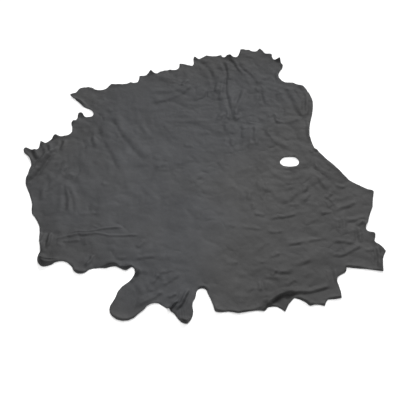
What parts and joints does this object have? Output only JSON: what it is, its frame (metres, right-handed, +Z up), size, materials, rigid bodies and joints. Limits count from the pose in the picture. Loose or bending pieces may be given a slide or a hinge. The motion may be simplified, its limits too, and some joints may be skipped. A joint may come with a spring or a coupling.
{
  "type": "leather hide",
  "caption": "Whole tanned cow hide lying flat with soft folds, a scalloped rim with shank lobes, curled tips and one worn hole.",
  "frame": {"origin": "centre of the bounding box in plan, on the surface that the hide lies on", "axes": "+Z up through the grain side, +X towards the butt, +Y towards the far side; the spine runs about 15 degrees round from +X towards +Y"},
  "size_m": [2.4602, 2.58, 0.0415],
  "materials": {
    "leather": "matt charcoal grey with a faint soft sheen"
  },
  "bodies": {
    "root": {"hide": "leather"}
  },
  "joints": []
}
